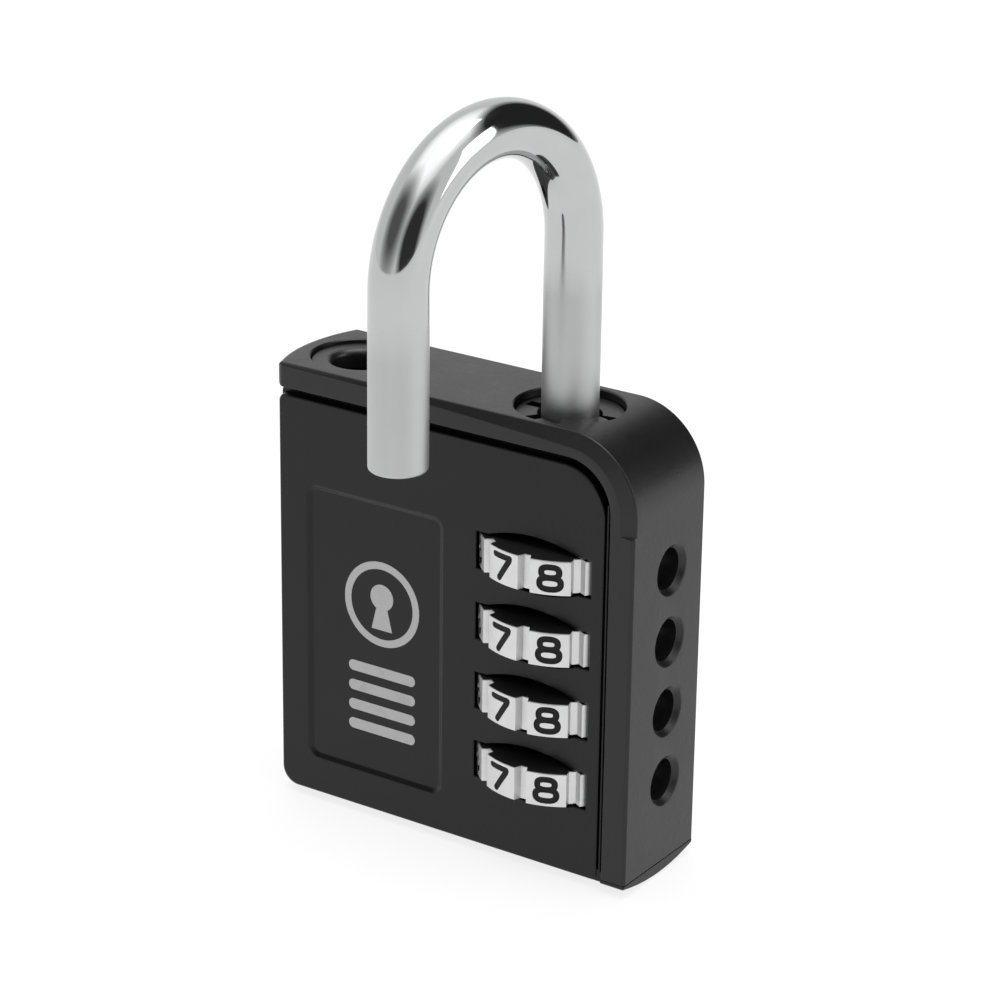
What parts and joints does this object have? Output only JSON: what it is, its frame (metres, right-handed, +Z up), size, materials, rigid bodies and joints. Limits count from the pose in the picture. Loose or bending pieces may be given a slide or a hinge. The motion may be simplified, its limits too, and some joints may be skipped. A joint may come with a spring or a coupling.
{
  "type": "combination padlock",
  "caption": "Combination padlock, open, with a round-bar shackle raised and swung to the front of a black case with turning number dials.",
  "frame": {"origin": "inside crown of the shackle's bow, where a staple carries the hanging lock", "axes": "+Z up along the shackle's legs, +Y from the front panel to the back, +X from the shackle's hole to its long leg"},
  "size_m": [0.0464, 0.0388, 0.0851],
  "materials": {
    "case_coating": "satin black powder coat on zinc die casting",
    "cover_gloss": "semi-gloss black moulded cover",
    "bushing_coating": "satin black",
    "shackle_chrome": "chrome-plated hardened steel bar",
    "dial_metal": "matt chrome plating with black-filled sunk digits",
    "spring_steel": "bright spring steel",
    "brass_turned": "machined brass",
    "pin_steel": "dark steel pins"
  },
  "bodies": {
    "case": {"case_frame": "case_coating", "front_cover": "cover_gloss", "back_cover": "cover_gloss", "heel_guide_bushing": "bushing_coating", "toe_guide_bushing": "bushing_coating", "lift_spring": "spring_steel", "spring_seat": "brass_turned", "detent_spring": "spring_steel", "detent_rivet_1": "pin_steel", "detent_rivet_2": "pin_steel", "cover_pin_1": "pin_steel", "cover_pin_2": "pin_steel", "cover_pin_3": "pin_steel"},
    "lift_carriage": {"retaining_clip": "spring_steel", "spring_cap": "brass_turned"},
    "shackle": {"shackle": "shackle_chrome"},
    "dial_1_wheel": {"dial_1": "dial_metal", "clutch_sleeve_1": "brass_turned"},
    "dial_2_wheel": {"dial_2": "dial_metal", "clutch_sleeve_2": "brass_turned"},
    "dial_3_wheel": {"dial_3": "dial_metal", "clutch_sleeve_3": "brass_turned"},
    "dial_4_wheel": {"dial_4": "dial_metal", "clutch_sleeve_4": "brass_turned"}
  },
  "joints": [
    {"name": "shackle_lift", "type": "slide", "parent": "case", "child": "lift_carriage", "axis": [0, 0, 1], "range_m": [-0.006, 0], "stiffness_N_per_m": 120, "springref_m": 0.012, "deforming": ["lift_spring"]},
    {"name": "shackle_swing", "type": "hinge", "parent": "lift_carriage", "child": "shackle", "pos_m": [0.00135, 0.01328, -0.02865], "axis": [0, 0, 1], "range_deg": [-84.2, 95.8]},
    {"name": "dial_1_turn", "type": "hinge", "parent": "case", "child": "dial_1_wheel", "pos_m": [0.00135, 0.01328, -0.04435], "axis": [0, 0, 1], "continuous": true},
    {"name": "dial_2_turn", "type": "hinge", "parent": "case", "child": "dial_2_wheel", "pos_m": [0.00135, 0.01328, -0.05235], "axis": [0, 0, 1], "continuous": true},
    {"name": "dial_3_turn", "type": "hinge", "parent": "case", "child": "dial_3_wheel", "pos_m": [0.00135, 0.01328, -0.06035], "axis": [0, 0, 1], "continuous": true},
    {"name": "dial_4_turn", "type": "hinge", "parent": "case", "child": "dial_4_wheel", "pos_m": [0.00135, 0.01328, -0.06835], "axis": [0, 0, 1], "continuous": true}
  ]
}
